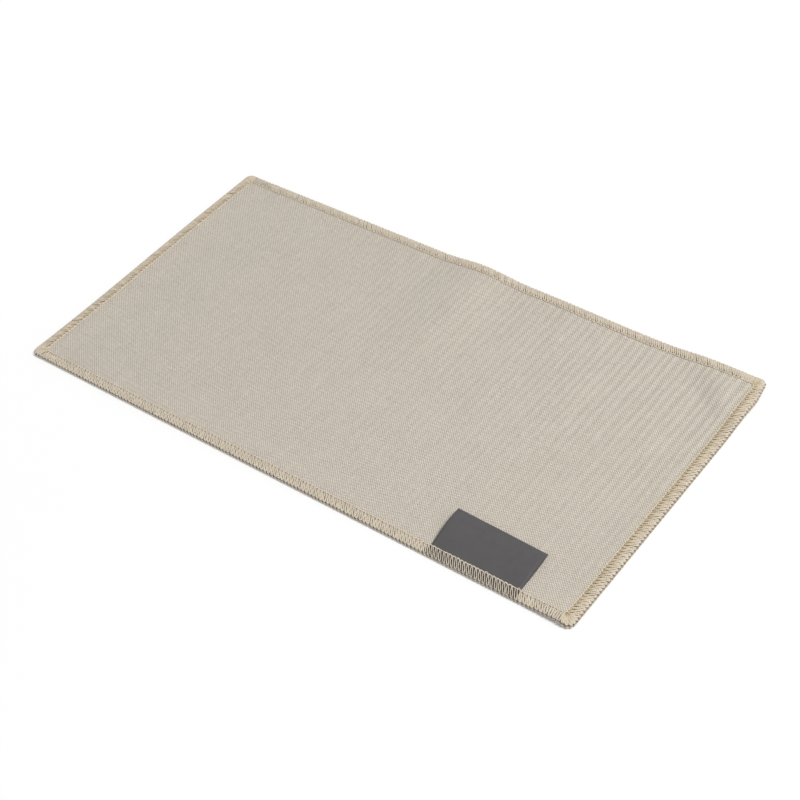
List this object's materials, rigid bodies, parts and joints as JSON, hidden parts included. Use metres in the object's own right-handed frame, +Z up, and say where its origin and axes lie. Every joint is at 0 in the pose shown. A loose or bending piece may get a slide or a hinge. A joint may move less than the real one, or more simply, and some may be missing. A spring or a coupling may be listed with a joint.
{
  "type": "pressing cloth",
  "caption": "Rectangular woven cotton pressing cloth with overlocked edges and a folded ribbon label that hinges at the front seam.",
  "frame": {"origin": "on the table under the middle of the cloth", "axes": "+X along the length towards the end with the label, +Y from the front edge with the label to the back edge, +Z up from the table"},
  "size_m": [0.31, 0.164, 0.0044],
  "materials": {
    "woven_cotton": "matt undyed plain weave",
    "needle_thread": "spun sewing thread, slight sheen",
    "looper_thread": "soft overlock thread, slight sheen",
    "label_ribbon": "dark satin ribbon, low sheen"
  },
  "bodies": {
    "cloth": {"cloth_panel": "woven_cotton", "front_needle_thread": "needle_thread", "front_upper_looper_thread": "looper_thread", "front_lower_looper_thread": "looper_thread", "right_needle_thread": "needle_thread", "right_upper_looper_thread": "looper_thread", "right_lower_looper_thread": "looper_thread", "back_needle_thread": "needle_thread", "back_upper_looper_thread": "looper_thread", "back_lower_looper_thread": "looper_thread", "left_needle_thread": "needle_thread", "left_upper_looper_thread": "looper_thread", "left_lower_looper_thread": "looper_thread", "label_sewn_end": "label_ribbon"},
    "label": {"label_flap": "label_ribbon"}
  },
  "joints": [
    {"name": "label_flap_hinge", "type": "hinge", "parent": "cloth", "child": "label", "pos_m": [0.1052, -0.07605, 0.0031], "axis": [1, 0, 0], "range_deg": [-4.5, 146], "stiffness_Nm_per_rad": 0.002, "springref_deg": 1.15}
  ]
}
